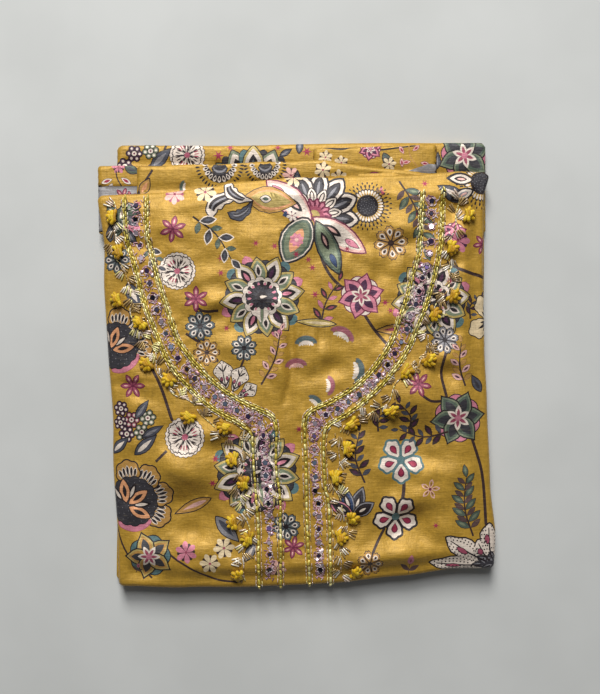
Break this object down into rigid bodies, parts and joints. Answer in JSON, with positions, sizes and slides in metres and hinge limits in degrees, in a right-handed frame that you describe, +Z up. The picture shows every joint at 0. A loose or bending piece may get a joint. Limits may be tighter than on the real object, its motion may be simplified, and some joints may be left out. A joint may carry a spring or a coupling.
{
  "type": "folded salwar kameez suit",
  "caption": "Unstitched salwar kameez suit in printed silk, folded into one flat packet, with a raised beaded neck and slit border and knotted flowers on the top layer.",
  "frame": {"origin": "centre of the bounding box in plan, on the surface the packet lies on", "axes": "+Z up; +Y from the hem end of the packet to its neck end; +X across it, to the right as the front is seen from above with the neck end away from the viewer"},
  "size_m": [0.3002, 0.3364, 0.0246],
  "materials": {
    "printed_silk": "satin silk in mustard with a printed floral pattern, soft sheen",
    "neck_beads": "rows of gold bugle beads either side of lilac sequin and mirror work",
    "knot_thread": "wound golden-yellow rayon thread knots"
  },
  "bodies": {
    "root": {"kameez_front": "printed_silk", "kameez_back": "printed_silk", "sleeve_piece_left": "printed_silk", "sleeve_piece_right": "printed_silk", "salwar_upper_fold": "printed_silk", "salwar_lower_fold": "printed_silk", "inner_folds": "printed_silk", "neck_border_left": "neck_beads", "neck_border_right": "neck_beads", "bullion_flower_01": "knot_thread", "bullion_flower_02": "knot_thread", "bullion_flower_03": "knot_thread", "bullion_flower_04": "knot_thread", "bullion_flower_05": "knot_thread", "bullion_flower_06": "knot_thread", "bullion_flower_07": "knot_thread", "bullion_flower_08": "knot_thread", "bullion_flower_09": "knot_thread", "bullion_flower_10": "knot_thread", "bullion_flower_11": "knot_thread", "bullion_flower_12": "knot_thread", "bullion_flower_13": "knot_thread", "bullion_flower_14": "knot_thread", "bullion_flower_15": "knot_thread", "bullion_flower_16": "knot_thread", "bullion_flower_17": "knot_thread", "bullion_flower_18": "knot_thread", "bullion_flower_19": "knot_thread", "bullion_flower_20": "knot_thread", "bullion_flower_21": "knot_thread", "bullion_flower_22": "knot_thread", "bullion_flower_23": "knot_thread", "bullion_flower_24": "knot_thread", "bullion_flower_25": "knot_thread", "bullion_flower_26": "knot_thread"}
  },
  "joints": []
}
